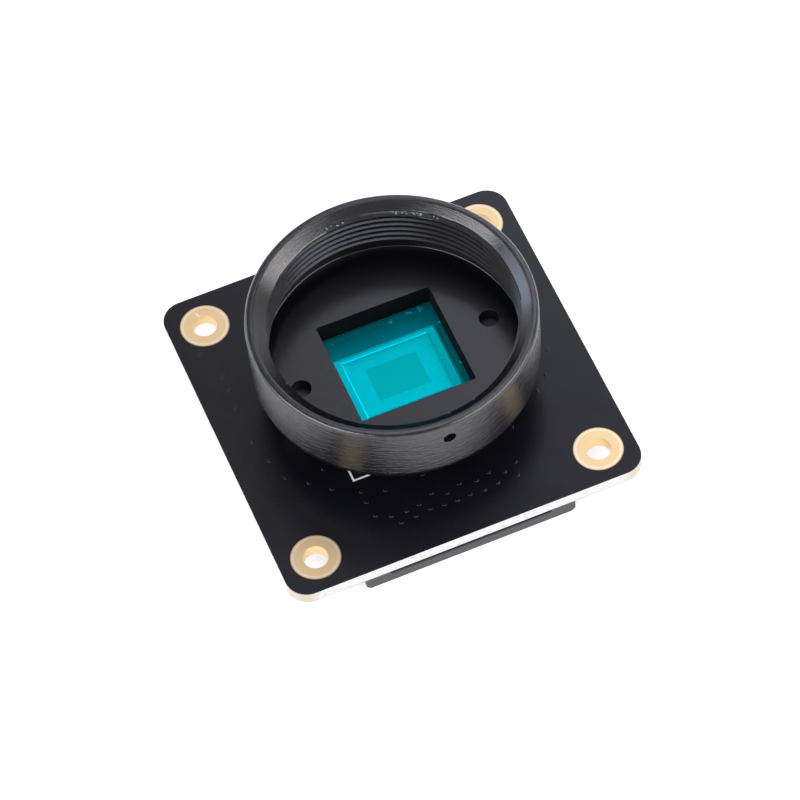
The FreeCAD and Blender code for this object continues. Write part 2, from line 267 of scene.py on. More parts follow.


# The mounting pads are copper, plated with nickel and a thin layer of gold through the hole.
# The gold is pale and satin, with the fine grain of the copper below it.

# Immersion gold: satin, for it copies the grain of the etched copper. The pad's edge is browner,
# and just inside it runs a painted highlight: a paler line that stands in for light on a raised rim.
immersion_gold, tree = new_finish("immersion_gold_on_copper")
hole_place = 0.015
pad_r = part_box("mounting_pads")[1].x - hole_place
place = add_node(tree, "TexCoord")
grain = add_node(
    tree, "TexNoise", {"Scale": per_metre(1 / 7), "Detail": 4.0, "Roughness": 0.6},
    {"Vector": place.outputs["Object"]})
stain = add_node(
    tree, "TexNoise", {"Scale": per_metre(5 / 3), "Detail": 2.0}, {"Vector": place.outputs["Object"]})
gold_colour = add_node(
    tree, "Mix", {"data_type": "RGBA", 6: linear("#FDE1AC"), 7: linear("#F6D096")}, {0: stain})
gold_roughness = add_node(
    tree, "MapRange", {"To Min": 0.32, "To Max": 0.48}, {"Value": grain})
quarter = add_node(tree, "VectorMath", {"operation": "ABSOLUTE"}, {0: place.outputs["Object"]})
from_hole = add_node(
    tree, "VectorMath", {"operation": "SUBTRACT", 1: (hole_place, hole_place, 0)}, {0: quarter})
flat_from_hole = add_node(
    tree, "VectorMath", {"operation": "MULTIPLY", 1: (1, 1, 0)}, {0: from_hole})
hole_distance = add_node(tree, "VectorMath", {"operation": "LENGTH"}, {0: flat_from_hole})
off_line = add_node(
    tree, "Math", {"operation": "SUBTRACT", 1: pad_r - 0.00025}, {0: hole_distance.outputs["Value"]})
off_line_size = add_node(tree, "Math", {"operation": "ABSOLUTE"}, {0: off_line})
# Painted highlight: a paler ring a quarter of a millimetre inside the pad's edge.
painted_highlight_ring = add_node(
    tree, "MapRange", {"From Min": 0.00004, "From Max": 0.00015, "To Min": 0.7, "To Max": 0.0},
    {"Value": off_line_size})
highlighted_gold = add_node(
    tree, "Mix", {"data_type": "RGBA", 7: linear("#FFF8E4")}, {0: painted_highlight_ring, 6: gold_colour.outputs[2]})
rim_share = add_node(
    tree, "MapRange", {"From Min": pad_r - 0.00012, "From Max": pad_r - 0.00002, "To Max": 0.55},
    {"Value": hole_distance.outputs["Value"]})
rimmed_gold = add_node(
    tree, "Mix", {"data_type": "RGBA", 7: linear("#A77C3F")}, {0: rim_share, 6: highlighted_gold.outputs[2]})
gold_bump = add_node(tree, "Bump", {"Strength": 0.5, "Distance": 0.000004}, {"Height": grain})
shader = add_node(
    tree, "BsdfPrincipled", {"Metallic": 1.0},
    {"Base Color": rimmed_gold.outputs[2], "Roughness": gold_roughness, "Normal": gold_bump})
add_node(tree, "OutputMaterial", links={"Surface": shader})


def softened(node, width):
    """A copy of a CAD node with the small round that moulding, etching or grinding leaves."""
    body = bmesh.new()
    body.from_mesh(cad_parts[node].data)
    bmesh.ops.remove_doubles(body, verts=body.verts, dist=1e-7)
    bmesh.ops.dissolve_limit(
        body, angle_limit=math.radians(1), verts=body.verts, edges=body.edges,
        use_dissolve_boundaries=False)
    edges = [e for e in body.edges if len(e.link_faces) == 2 and e.calc_face_angle() > math.radians(25)]
    bmesh.ops.bevel(
        body, geom=edges, offset=width * 0.001, segments=2, profile=0.5, affect="EDGES",
        clamp_overlap=True)
    mesh = bpy.data.meshes.new(node + "_rounded")
    body.to_mesh(mesh)
    body.free()
    mesh.set_sharp_from_angle(angle=math.radians(30))
    piece = bpy.data.objects.new(node + "_rounded", mesh)
    piece.modifiers.new("flat_faces_stay_flat", "WEIGHTED_NORMAL").keep_sharp = True
    bpy.context.scene.collection.objects.link(piece)
    return piece


fit_piece(softened("mounting_pads", 0.025), immersion_gold, stands_for=["mounting_pads"])


# The image sensor is an alumina carrier with a metallised well, in which the silicon chip is glued
# and wired. A glass lid is sealed over the well, and the carrier is soldered to the board. Seen
# through the blue filter the well looks cyan, the pixel array darker and the carrier deep teal.

# Pressed and fired alumina: an even grey with a fine grain, and bright where its well is metallised.
ceramic, tree = new_finish("alumina_carrier_ceramic")
lid_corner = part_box("cover_glass")[1]
lid_blur = 0.00005
place = add_node(tree, "TexCoord")
ceramic_grain = add_node(
    tree, "TexNoise", {"Scale": per_metre(1 / 9), "Detail": 3.0}, {"Vector": place.outputs["Object"]})
half_well = add_node(
    tree, "VectorMath", {"operation": "ABSOLUTE"}, {0: place.outputs["Object"]})
well_sides = add_node(tree, "SeparateXYZ", links={0: half_well})
inside_x, inside_y = (
    add_node(
        tree, "MapRange",
        {"From Min": half - lid_blur, "From Max": half + lid_blur, "To Min": 1.0, "To Max": 0.0},
        {"Value": well_sides.outputs[side]})
    for side, half in (("X", lid_corner.x), ("Y", lid_corner.y)))
in_well = add_node(tree, "Math", {"operation": "MULTIPLY"}, {0: inside_x, 1: inside_y})
carrier_tone = add_node(
    tree, "Mix", {"data_type": "RGBA", 6: linear("#7C7E82"), 7: linear("#8E9094")}, {0: ceramic_grain})
ceramic_colour = add_node(
    tree, "Mix", {"data_type": "RGBA", 7: linear("#F6F8F4")}, {0: in_well, 6: carrier_tone.outputs[2]})
ceramic_bump = add_node(tree, "Bump", {"Strength": 0.4, "Distance": 0.000004}, {"Height": ceramic_grain})
shader = add_node(
    tree, "BsdfPrincipled", {"Roughness": 0.45, "IOR": 1.76},
    {"Base Color": ceramic_colour.outputs[2], "Normal": ceramic_bump})
add_node(tree, "OutputMaterial", links={"Surface": shader})
fit_piece(softened("sensor_package", 0.05), ceramic, stands_for=["sensor_package"])

# Polished silicon under clear glassy layers: bright, with faint blocks where its circuits lie.
# The real circuits are far too fine to show, so the blocks are drawn 0.4 mm across.
silicon, tree = new_finish("polished_silicon_chip")
place = add_node(tree, "TexCoord")
circuit_blocks = add_node(
    tree, "TexVoronoi", {"distance": "CHEBYCHEV", "Scale": per_metre(5 / 13), "Randomness": 0.6},
    {"Vector": place.outputs["Object"]})
chip_colour = add_node(
    tree, "Mix", {"data_type": "RGBA", 6: linear("#F2F6F4"), 7: linear("#FCFDFA")},
    {0: circuit_blocks.outputs["Color"]})
shader = add_node(
    tree, "BsdfPrincipled", {"Metallic": 0.5, "Roughness": 0.3},
    {"Base Color": chip_colour.outputs[2]})
add_node(tree, "OutputMaterial", links={"Surface": shader})
coat_node("sensor_die", silicon)

# A film of resin lenses over the pixels: a shade darker than the chip, with faint rows. Real rows are
# 0.002 mm apart, and these are drawn a hundred times wider so that they show.
pixel_film, tree = new_finish("microlens_array_film")
place = add_node(tree, "TexCoord")
pixel_rows = add_node(
    tree, "TexWave",
    {"bands_direction": "Y", "Scale": wave_repeat * per_metre(0.20944), "Distortion": 0.0},
    {"Vector": place.outputs["Object"]})
film_colour = add_node(
    tree, "Mix", {"data_type": "RGBA", 6: linear("#DEE4DA"), 7: linear("#E2E8DE")}, {0: pixel_rows})
shader = add_node(
    tree, "BsdfPrincipled", {"Metallic": 0.4, "Roughness": 0.35},
    {"Base Color": film_colour.outputs[2]})
add_node(tree, "OutputMaterial", links={"Surface": shader})
coat_node("pixel_array", pixel_film)

# White epoxy, cured in place: glossy, a little yellower where it is thin.
seal_resin, tree = new_finish("white_sealing_epoxy")
place = add_node(tree, "TexCoord")
resin_flow = add_node(
    tree, "TexNoise", {"Scale": per_metre(0.4), "Detail": 3.0}, {"Vector": place.outputs["Object"]})
resin_colour = add_node(
    tree, "Mix", {"data_type": "RGBA", 6: linear("#E6ECEA"), 7: linear("#FAFCFA")}, {0: resin_flow})
shader = add_node(
    tree, "BsdfPrincipled", {"Roughness": 0.4, "IOR": 1.5}, {"Base Color": resin_colour.outputs[2]})
add_node(tree, "OutputMaterial", links={"Surface": shader})
coat_node("glass_seal", seal_resin)


def frame_bead(name, inner_x, inner_y, section, wobble=0.0):
    """A bead round a rectangle of those half sides: its section lists (distance out, height)."""
    points, faces = [], []
    steps = 60
    for out, z in section:
        half_x, half_y = inner_x + out, inner_y + out
        for corner, (x, y) in enumerate(((1, 1), (-1, 1), (-1, -1), (1, -1))):
            next_x, next_y = ((-1, 1), (-1, -1), (1, -1), (1, 1))[corner]
            for i in range(steps):
                share = i / steps
                at = Vector((
                    half_x * (x + (next_x - x) * share), half_y * (y + (next_y - y) * share), z))
                ripple = noise.noise(at * 2.3) + 0.6 * noise.noise(at * 6.1)
                points.append(at + Vector((0, 0, wobble * ripple)))
    count = 4 * steps
    for ring in range(len(section)):
        here, there = ring * count, (ring + 1) % len(section) * count
        faces += [
            (here + i, here + (i + 1) % count, there + (i + 1) % count, there + i)
            for i in range(count)]
    return make_piece(name, points, faces, 50)


def prism(name, outline, low, high):
    """A solid between two heights over an outline of points."""
    count = len(outline)
    points = [(x, y, z) for z in (low, high) for x, y in outline]
    faces = [tuple(range(count))[::-1], tuple(range(count, 2 * count))]
    faces += [(i, (i + 1) % count, count + (i + 1) % count, count + i) for i in range(count)]
    return make_piece(name, points, faces)


clear = 0.01  # what a bead keeps from the part that it runs round
lid_x, lid_y = (1000 * value + clear for value in lid_corner[:2])
chip_x, chip_y = (1000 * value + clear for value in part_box("sensor_die")[1][:2])
carrier_top = 1000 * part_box("sensor_package")[1].z + clear
well_floor = 1000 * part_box("sensor_die")[0].z + clear
well_gap = 0.28
lid_fillet = frame_bead("lid_seal_fillet", lid_x, lid_y, [
    (0, carrier_top), (0.26, carrier_top), (0.14, carrier_top + 0.08), (0.06, carrier_top + 0.2),
    (0, carrier_top + 0.32)], 0.03)
fit_piece(lid_fillet, seal_resin)
chip_fillet = frame_bead("chip_bond_fillet", chip_x, chip_y, [
    (0, well_floor), (well_gap, well_floor), (well_gap, well_floor + 0.9),
    (well_gap / 2, well_floor + 0.76), (0, well_floor + 0.71)])
fit_piece(chip_fillet, seal_resin)

# Aluminium wire, ultrasonically bonded from chip to carrier: a bright, dented frame. The wires are too
# fine and close to show one by one, so they are drawn as one rail.
bond_metal, tree = new_finish("aluminium_bond_rail")
place = add_node(tree, "TexCoord")
dents = add_node(
    tree, "TexNoise", {"Scale": per_metre(5 / 11), "Detail": 2.0}, {"Vector": place.outputs["Object"]})
bond_colour = add_node(
    tree, "Mix", {"data_type": "RGBA", 6: linear("#E6E8EA"), 7: linear("#FAFBFC")}, {0: dents})
bond_bump = add_node(tree, "Bump", {"Strength": 0.6, "Distance": 0.000015}, {"Height": dents})
shader = add_node(
    tree, "BsdfPrincipled", {"Metallic": 1.0, "Roughness": 0.25},
    {"Base Color": bond_colour.outputs[2], "Normal": bond_bump})
add_node(tree, "OutputMaterial", links={"Surface": shader})
rail_top = carrier_top - 0.03
rail_gap = 0.11
bond_rail = frame_bead("bond_rail", chip_x, chip_y, [
    (rail_gap, rail_top - 0.13), (well_gap, rail_top - 0.13), (well_gap, rail_top),
    (rail_gap, rail_top - 0.02)], 0.006)
fit_piece(bond_rail, bond_metal)
strip = [(5.64, -3.9), (5.8, -3.9), (5.8, 4.0), (5.64, 4.0)]
for side in (-1, 1):
    outline = [(side * x, y) for x, y in strip][::side]
    seal_ring = prism(f"gold_seal_ring_{side}", outline, carrier_top - 0.005, carrier_top + 0.04)
    fit_piece(seal_ring, immersion_gold)


def glass_finish(name, through, ior):
    """Coated glass that lets lamp light through: its tint is what one pass leaves."""
    finish, tree = new_finish(name)
    glass = add_node(
        tree, "BsdfPrincipled",
        {"Transmission Weight": 1.0, "Roughness": 0.0, "IOR": ior,
         "Specular Tint": (0.0, 0.0, 0.0, 1.0), "Base Color": linear(through)})
    open_glass = add_node(
        tree, "BsdfTransparent", {"Color": [channel ** 0.5 for channel in linear(through)]})
    ray = add_node(tree, "LightPath")
    lamp_ray = add_node(
        tree, "Math", {"operation": "MAXIMUM"},
        {0: ray.outputs["Is Shadow Ray"], 1: ray.outputs["Is Diffuse Ray"]})
    both = add_node(tree, "MixShader", links={0: lamp_ray, 1: glass, 2: open_glass})
    add_node(tree, "OutputMaterial", links={"Surface": both})
    return finish


# Borosilicate glass, polished and coated against reflections: all but invisible.
lid_glass = glass_finish("borosilicate_lid_glass", "#F6FBFA", 1.47)
fit_piece(softened("cover_glass", 0.08), lid_glass, stands_for=["cover_glass"])

# Tin solder, melted and frozen: bright metal, broken up by crystals a fifth of a millimetre wide.
tin_solder, tree = new_finish("reflowed_tin_solder")
place = add_node(tree, "TexCoord")
crystals = add_node(
    tree, "TexNoise", {"Scale": per_metre(0.2), "Detail": 3.0}, {"Vector": place.outputs["Object"]})
solder_colour = add_node(
    tree, "Mix", {"data_type": "RGBA", 6: linear("#B8BABD"), 7: linear("#D6D7D8")}, {0: crystals})
solder_bump = add_node(tree, "Bump", {"Strength": 0.4, "Distance": 0.00001}, {"Height": crystals})
shader = add_node(
    tree, "BsdfPrincipled", {"Metallic": 1.0, "Roughness": 0.28},
    {"Base Color": solder_colour.outputs[2], "Normal": solder_bump})
add_node(tree, "OutputMaterial", links={"Surface": shader})
coat_node("sensor_solder", tin_solder)


# The filter is a sheet of blue-green infrared-absorbing glass, diced with ground edges. A bead of
# black adhesive holds it against the ledge inside the foot of the mount, and a bead of grey
# silicone between the mount and the sensor's carrier keeps dust out.

# Phosphate glass with copper in it: it takes the red out of what lies below, and reflects little.
filter_glass = glass_finish("infrared_absorbing_glass", "#00F6FD", 1.53)
fit_piece(softened("ir_filter", 0.05), filter_glass, stands_for=["ir_filter"])

# Black epoxy, squeezed out and cured: glossy and lumpy.
black_adhesive, tree = new_finish("black_epoxy_adhesive")
place = add_node(tree, "TexCoord")
flow = add_node(
    tree, "TexNoise", {"Scale": per_metre(5 / 6), "Detail": 3.0}, {"Vector": place.outputs["Object"]})
glue_colour = add_node(
    tree, "Mix", {"data_type": "RGBA", 6: linear("#08080A"), 7: linear("#141416")}, {0: flow})
glue_bump = add_node(tree, "Bump", {"Strength": 0.6, "Distance": 0.00003}, {"Height": flow})
shader = add_node(
    tree, "BsdfPrincipled", {"Roughness": 0.35, "IOR": 1.5},
    {"Base Color": glue_colour.outputs[2], "Normal": glue_bump})
add_node(tree, "OutputMaterial", links={"Surface": shader})
coat_node("filter_glue", black_adhesive)

# Grey silicone, laid by needle and smeared where the mount came down on it: wet-looking. Its pale
# glints are painted highlights: random near-white spots in its colour.
dust_silicone, tree = new_finish("grey_dust_seal_silicone")
place = add_node(tree, "TexCoord")
smear = add_node(
    tree, "TexNoise", {"Scale": per_metre(2 / 3), "Detail": 3.0}, {"Vector": place.outputs["Object"]})
# Painted highlights: near-white spots mixed into the grey where the smear noise is high.
painted_glint_share = add_node(
    tree, "MapRange", {"From Min": 0.63, "From Max": 0.7}, {"Value": smear})
silicone_colour = add_node(
    tree, "Mix", {"data_type": "RGBA", 6: linear("#74767A"), 7: linear("#F2F4F6")}, {0: painted_glint_share})
silicone_bump = add_node(tree, "Bump", {"Strength": 0.6, "Distance": 0.00003}, {"Height": smear})
shader = add_node(
    tree, "BsdfPrincipled", {"Roughness": 0.22, "IOR": 1.41},
    {"Base Color": silicone_colour.outputs[2], "Normal": silicone_bump})
add_node(tree, "OutputMaterial", links={"Surface": shader})
carrier_half = 1000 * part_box("sensor_package")[1].x + clear
seal_lap, seal_gap = -0.11, 0.43
dust_seal = frame_bead("dust_seal", carrier_half, carrier_half, [
    (0, carrier_top - 0.46), (seal_gap, carrier_top - 0.46), (seal_gap, carrier_top + 0.49),
    (0.35, carrier_top + 0.29), (0.19, carrier_top + 0.12), (seal_lap, carrier_top + 0.04),
    (seal_lap, carrier_top), (0, carrier_top)], 0.06)
fit_piece(dust_seal, dust_silicone)


# The lens mount is turned and milled from one bar of aluminium, bead blasted and anodised black. Its
# thread of 32 turns to the inch starts in the lead-in cone and ends in the relief groove. The walls
# of its window are painted, and two screws from behind hold it by the posts beside its foot.

mount_r, mount_height = (1000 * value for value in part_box("lens_mount")[1][1:])
underside, floor_height = 4.6, 5.9
foot_round, rim_round, lip_round, groove_round = 1.9, 0.48, 0.06, 0.12
rim_inner_r, groove_r = mount_r - 0.75, mount_r - 1.35
cone_slope = math.tan(math.radians(50))
thread_r, thread_length, thread_pitch, thread_depth = 12.3, 4.0, 25.4 / 32, 0.42
thread_top = mount_height - (rim_inner_r - thread_r) / cone_slope
thread_bottom = thread_top - thread_length
thread_start = math.radians(92)
columns = 360

# Black anodised aluminium: a near-black glassy oxide over turned metal. It keeps the turning lines as
# long scratches round the wall and a sandy grain from the blasting. A few bare dots show at the edge
# of the thread, where the oxide chipped. The blasting is drawn coarser than it is, so that it shows.
anodised, tree = new_finish("black_anodised_aluminium")
scratch_length, scratch_spacing, blast_grain = 1.304545, 2 / 9, 2 / 11
chip_size, worn_stretch = 5 / 18, 100 / 13
place = add_node(tree, "TexCoord")
axis_part = add_node(tree, "SeparateXYZ", links={0: place.outputs["Object"]})
from_axis = add_node(
    tree, "VectorMath", {"operation": "MULTIPLY", 1: (1, 1, 0)}, {0: place.outputs["Object"]})
radius = add_node(tree, "VectorMath", {"operation": "LENGTH"}, {0: from_axis})
heading = add_node(tree, "VectorMath", {"operation": "NORMALIZE"}, {0: from_axis})
around = add_node(
    tree, "VectorMath", {"operation": "SCALE", "Scale": mount_r / scratch_length}, {0: heading})
across = add_node(
    tree, "Math", {"operation": "ADD"}, {0: radius.outputs["Value"], 1: axis_part.outputs["Z"]})
across_count = add_node(
    tree, "Math", {"operation": "MULTIPLY", 1: per_metre(scratch_spacing)}, {0: across})
around_parts = add_node(tree, "SeparateXYZ", links={0: around})
lathe_place = add_node(
    tree, "CombineXYZ", links={
        "X": around_parts.outputs["X"], "Y": around_parts.outputs["Y"], "Z": across_count})
lathe_lines = add_node(
    tree, "TexNoise", {"Scale": 1.0, "Detail": 4.0, "Roughness": 0.6}, {"Vector": lathe_place})
on_wall = add_node(
    tree, "MapRange", {"From Min": 0.001 * (groove_r - 0.05), "From Max": 0.001 * (groove_r - 0.02)},
    {"Value": radius.outputs["Value"]})
above_floor = add_node(
    tree, "MapRange", {"From Min": 0.001 * (floor_height + 0.1), "From Max": 0.001 * (floor_height + 0.3)},
    {"Value": axis_part.outputs["Z"]})
turned_share = add_node(tree, "Math", {"operation": "MAXIMUM"}, {0: on_wall, 1: above_floor})
turning = add_node(
    tree, "Mix", {"data_type": "FLOAT", 2: 0.48}, {0: turned_share, 3: lathe_lines})
blasting = add_node(
    tree, "TexNoise", {"Scale": per_metre(blast_grain), "Detail": 3.0, "Roughness": 0.7},
    {"Vector": place.outputs["Object"]})
oxide_colour = add_node(
    tree, "Mix", {"data_type": "RGBA", 6: linear("#050507"), 7: linear("#0D0D11")}, {0: blasting})
chip_places = add_node(
    tree, "TexNoise", {"Scale": per_metre(chip_size), "Detail": 1.0}, {"Vector": place.outputs["Object"]})
worn_places = add_node(
    tree, "TexNoise", {"Scale": per_metre(worn_stretch), "Detail": 1.0},
    {"Vector": place.outputs["Object"]})
chip_share = add_node(
    tree, "MapRange", {"From Min": 0.61, "From Max": 0.66}, {"Value": chip_places})
worn_share = add_node(
    tree, "MapRange", {"From Min": 0.56, "From Max": 0.6}, {"Value": worn_places})
on_edge = add_node(
    tree, "MapRange",
    {"From Min": 0.001 * (thread_r + 0.36), "From Max": 0.001 * (thread_r + 0.4),
     "To Min": 1.0, "To Max": 0.0},
    {"Value": radius.outputs["Value"]})
high_up = add_node(
    tree, "MapRange", {"From Min": 0.001 * (mount_height - 1), "From Max": 0.001 * (mount_height - 0.95)},
    {"Value": axis_part.outputs["Z"]})
chip_worn = add_node(tree, "Math", {"operation": "MULTIPLY"}, {0: chip_share, 1: worn_share})
edge_zone = add_node(tree, "Math", {"operation": "MULTIPLY"}, {0: on_edge, 1: high_up})
chipped = add_node(tree, "Math", {"operation": "MULTIPLY"}, {0: chip_worn, 1: edge_zone})
worn_colour = add_node(
    tree, "Mix", {"data_type": "RGBA", 7: linear("#84848C")}, {0: chipped, 6: oxide_colour.outputs[2]})
oxide_roughness = add_node(
    tree, "MapRange", {"From Min": 0.3, "From Max": 0.7, "To Min": 0.13, "To Max": 0.24},
    {"Value": turning})
blast_bump = add_node(tree, "Bump", {"Strength": 0.6, "Distance": 0.00002}, {"Height": blasting})
outside_share = add_node(
    tree, "MapRange",
    {"From Min": 0.001 * (mount_r - 0.55), "From Max": 0.001 * (mount_r - 0.25),
     "To Min": 0.15, "To Max": 1.0},
    {"Value": radius.outputs["Value"]})
turn_bump = add_node(
    tree, "Bump", {"Distance": 0.00006},
    {"Strength": outside_share, "Height": turning, "Normal": blast_bump})
shader = add_node(
    tree, "BsdfPrincipled", {"IOR": 1.77},
    {"Base Color": worn_colour.outputs[2], "Roughness": oxide_roughness, "Normal": turn_bump})
add_node(tree, "OutputMaterial", links={"Surface": shader})


def thread_cut(turns):
    """How deep the thread is cut at a count of turns past the middle of its crest."""
    phase = abs(turns - round(turns))
    half_crest, flank = 0.13, 0.3
    return thread_depth * min(1, max(0, (phase - half_crest) / flank))


def bore_radius(turn, z):
    """The bore's radius: the thread, or the lead-in cone where that is wider."""
    turns = (z - thread_top) / thread_pitch - (turn - thread_start) / (2 * math.pi)
    cone = thread_r + (z - thread_top) * cone_slope
    return max(cone, thread_r + thread_cut(turns))


def arc(centre_r, centre_z, round_r, start, end, steps):
    """Points of (radius, height) along a round, angles in degrees from straight out."""
    turns = [math.radians(start + (end - start) * i / steps) for i in range(steps + 1)]
    return [(centre_r + round_r * math.cos(t), centre_z + round_r * math.sin(t)) for t in turns]


row_phases = (0, 0.1, 0.13, 0.18, 0.25, 0.32, 0.38, 0.43, 0.5, 0.57, 0.62, 0.68, 0.75, 0.82, 0.87, 0.9)
rows = sorted((turn + phase for turn in range(-7, 3) for phase in row_phases), reverse=True)
bore_top = mount_height - 0.07
outside = [(groove_r - 0.5, underside + 0.3), (mount_r - foot_round - 0.5, underside)]
outside += arc(mount_r - foot_round, underside + foot_round, foot_round, -90, 0, 12)
outside += arc(mount_r - rim_round, mount_height - rim_round, rim_round, 0, 90, 5)
outside += arc(rim_inner_r + lip_round, mount_height - lip_round, lip_round, 90, 137, 3)
groove = [(groove_r, thread_bottom), (groove_r, floor_height + groove_round)]
groove += arc(groove_r - groove_round, floor_height + groove_round, groove_round, 0, -90, 4)[1:]

points = []
for column in range(columns):
    turn = 2 * math.pi * column / columns
    lead = (turn - thread_start) / (2 * math.pi)
    heights = [min(bore_top, max(thread_bottom, thread_top + (row + lead) * thread_pitch)) for row in rows]
    loop = outside + [(bore_radius(turn, z), z) for z in heights] + groove
    points += [(r * math.cos(turn), r * math.sin(turn), z) for r, z in loop]

height = len(loop)
thread_rows = range(len(outside), len(outside) + len(rows))
faces = []
for column in range(columns):
    here, there = column * height, (column + 1) % columns * height
    shift = len(row_phases) if column == columns - 1 else 0
    for i in range(height):
        a, b = i, (i + 1) % height
        if i in thread_rows and b in thread_rows:
            a, b = (max(len(outside), k - shift) for k in (a, b))
        faces.append((here + i, there + a, there + b, here + (i + 1) % height))
wall = make_piece("lens_mount_wall", points, faces)
body = bmesh.new()
body.from_mesh(wall.data)
bmesh.ops.remove_doubles(body, verts=body.verts, dist=1e-8)
bmesh.ops.dissolve_degenerate(body, edges=body.edges, dist=1e-8)
bmesh.ops.recalc_face_normals(body, faces=body.faces)
body.to_mesh(wall.data)
body.free()


def circle(r, count, at=(0, 0)):
    """Points round a circle."""
    turns = [2 * math.pi * i / count for i in range(count)]
    return [(at[0] + r * math.cos(t), at[1] + r * math.sin(t)) for t in turns]


def rounded_square(side, corner_r, steps):
    """Points round a square with round corners of that many steps."""
    half = side / 2 - corner_r
    points = []
    for corner, (x, y) in enumerate(((1, 1), (-1, 1), (-1, -1), (1, -1))):
        for i in range(steps + 1):
            turn = math.radians(90 * corner + 90 * i / steps)
            points.append((x * half + corner_r * math.cos(turn), y * half + corner_r * math.sin(turn)))
    return points


def carved(piece, joined, cut, edge_round=0.0):
    """The piece with solids joined and cut, then its new edges rounded."""
    for operation, solids in (("UNION", joined), ("DIFFERENCE", cut)):
        for solid in solids:
            step = piece.modifiers.new(solid.name, "BOOLEAN")
            step.operation, step.solver, step.object = operation, "EXACT", solid
    if edge_round:
        rounding = piece.modifiers.new("edge_round", "BEVEL")
        rounding.width, rounding.segments = edge_round * 0.001, 2
        rounding.limit_method, rounding.angle_limit = "ANGLE", math.radians(40)
    shaped = bpy.data.meshes.new_from_object(piece.evaluated_get(bpy.context.evaluated_depsgraph_get()))
    piece.modifiers.clear()
    piece.data = shaped
    shaped.set_sharp_from_angle(angle=math.radians(35))
    piece.modifiers.new("flat_faces_stay_flat", "WEIGHTED_NORMAL").keep_sharp = True
    for solid in joined + cut:
        bpy.data.objects.remove(solid)
    return piece


lock_hole_r, lock_hole_height = 0.65, 10.75
lock_drill = prism("lock_drill", circle(lock_hole_r, 40), 10, 16)
lock_drill.data.transform(
    Matrix.Translation((0, 0, 0.001 * lock_hole_height)) @ Matrix.Rotation(math.radians(90), 4, "X"))
fit_piece(carved(wall, [], [lock_drill]), anodised, stands_for=["lens_mount"])

floor_r = groove_r - groove_round
foot_side, foot_corner_r, post_r, screw_hole_r = 16.4, 1.6, 2.5, 1.0
window_side, window_corner_r, pocket_side, pocket_top = 12.1, 0.15, 13.3, 3.4
screw_places = ((-10, 0), (10, 0))
plate = prism("lens_mount_floor", circle(floor_r, 180), underside, floor_height)
foot = prism("foot", rounded_square(foot_side, foot_corner_r, 6), 0.0, underside + 0.4)
posts = [prism("post", circle(post_r, 64, at), 0.0, underside + 0.5) for at in screw_places]
cuts = [
    prism("window", rounded_square(window_side, window_corner_r, 2), -1, 8),
    prism("pocket", rounded_square(pocket_side, 0.05, 1), -1, pocket_top)]
cuts += [prism("screw_hole", circle(screw_hole_r, 40, at), -1, 8) for at in screw_places]
fit_piece(carved(plate, [foot] + posts, cuts, 0.07), anodised)

# Matt black paint against stray light, brushed on the window's walls: it gives almost nothing back.
stop_paint, tree = new_finish("matt_black_stop_paint")
place = add_node(tree, "TexCoord")
brushed = add_node(
    tree, "TexNoise", {"Scale": per_metre(2 / 3), "Detail": 4.0}, {"Vector": place.outputs["Object"]})
paint_colour = add_node(
    tree, "Mix", {"data_type": "RGBA", 6: linear("#020203"), 7: linear("#070709")}, {0: brushed})
paint_bump = add_node(tree, "Bump", {"Strength": 0.5, "Distance": 0.00002}, {"Height": brushed})
shader = add_node(
    tree, "BsdfPrincipled", {"Roughness": 0.8, "IOR": 1.35},
    {"Base Color": paint_colour.outputs[2], "Normal": paint_bump})
add_node(tree, "OutputMaterial", links={"Surface": shader})
bite, film = 0.01, 0.03
liner = prism(
    "window_paint", rounded_square(window_side + 2 * bite, window_corner_r + bite, 2),
    pocket_top, floor_height - 0.05)
inside = prism("window_inside", rounded_square(window_side - 2 * film, window_corner_r - film, 2), 3, 7)
fit_piece(carved(liner, [], [inside]), stop_paint)


# Two cross-head screws come up through the board into the foot of the mount.
# They are steel with black zinc plating, so their tips show only as dark discs in the floor holes.

# Zinc plating, blackened: dark satin metal with a fine grain, drawn coarser than it is.
black_zinc, tree = new_finish("black_zinc_plated_steel")
place = add_node(tree, "TexCoord")
plating_grain = add_node(
    tree, "TexNoise", {"Scale": per_metre(1 / 6), "Detail": 3.0}, {"Vector": place.outputs["Object"]})
zinc_colour = add_node(
    tree, "Mix", {"data_type": "RGBA", 6: linear("#3A3A3D"), 7: linear("#5A5A5E")}, {0: plating_grain})
zinc_bump = add_node(tree, "Bump", {"Strength": 0.3, "Distance": 0.000005}, {"Height": plating_grain})
shader = add_node(
    tree, "BsdfPrincipled", {"Metallic": 1.0, "Roughness": 0.34},
    {"Base Color": zinc_colour.outputs[2], "Normal": zinc_bump})
add_node(tree, "OutputMaterial", links={"Surface": shader})
fit_piece(softened("mount_screws", 0.04), black_zinc, stands_for=["mount_screws"])


# The flat-cable connector is soldered to the back at the front edge. Its housing and sliding latch
# are moulded in nylon, and a black strip along the latch's top front edge is painted shade, where
# the board's overhang shades the latch. The contacts are stamped from tin-plated bronze, and a tab
# at each end holds it to the board.

